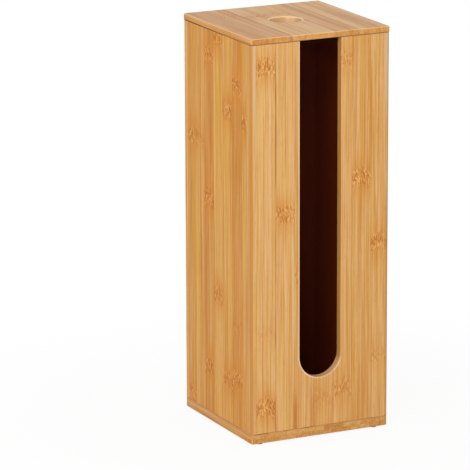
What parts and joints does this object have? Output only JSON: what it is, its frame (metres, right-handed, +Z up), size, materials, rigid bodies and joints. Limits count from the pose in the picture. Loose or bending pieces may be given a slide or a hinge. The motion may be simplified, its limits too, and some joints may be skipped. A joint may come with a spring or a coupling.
{
  "type": "toilet roll storage stand",
  "caption": "Tall square bamboo box for spare toilet rolls, with an open round-ended slot down the front, a lift-off lid with a finger hole, and small rubber feet.",
  "frame": {"origin": "on the floor, under the middle of the box", "axes": "+Z up, -Y out of the slotted front, +X to the right of someone who looks at the front"},
  "size_m": [0.15, 0.15, 0.405],
  "materials": {
    "bamboo_wall": "satin lacquered bamboo, strips upright",
    "bamboo_base": "satin lacquered bamboo, strips front to back",
    "bamboo_lid": "satin lacquered bamboo, strips front to back",
    "bamboo_inset": "sanded bamboo",
    "dowel_wood": "sanded beech",
    "screw_steel": "zinc plated",
    "foot_rubber": "matt"
  },
  "bodies": {
    "box": {"front_panel": "bamboo_wall", "back_panel": "bamboo_wall", "left_panel": "bamboo_wall", "right_panel": "bamboo_wall", "base_plate": "bamboo_base", "corner_dowels": "dowel_wood", "base_screws": "screw_steel", "foot_front_left": "foot_rubber", "foot_front_right": "foot_rubber", "foot_back_left": "foot_rubber", "foot_back_right": "foot_rubber"},
    "lid": {"lid_plate": "bamboo_lid", "lid_inset": "bamboo_inset"}
  },
  "joints": [
    {"name": "lid_lift", "type": "slide", "parent": "box", "child": "lid", "axis": [0, 0, 1], "range_m": [0, 0.08]}
  ]
}
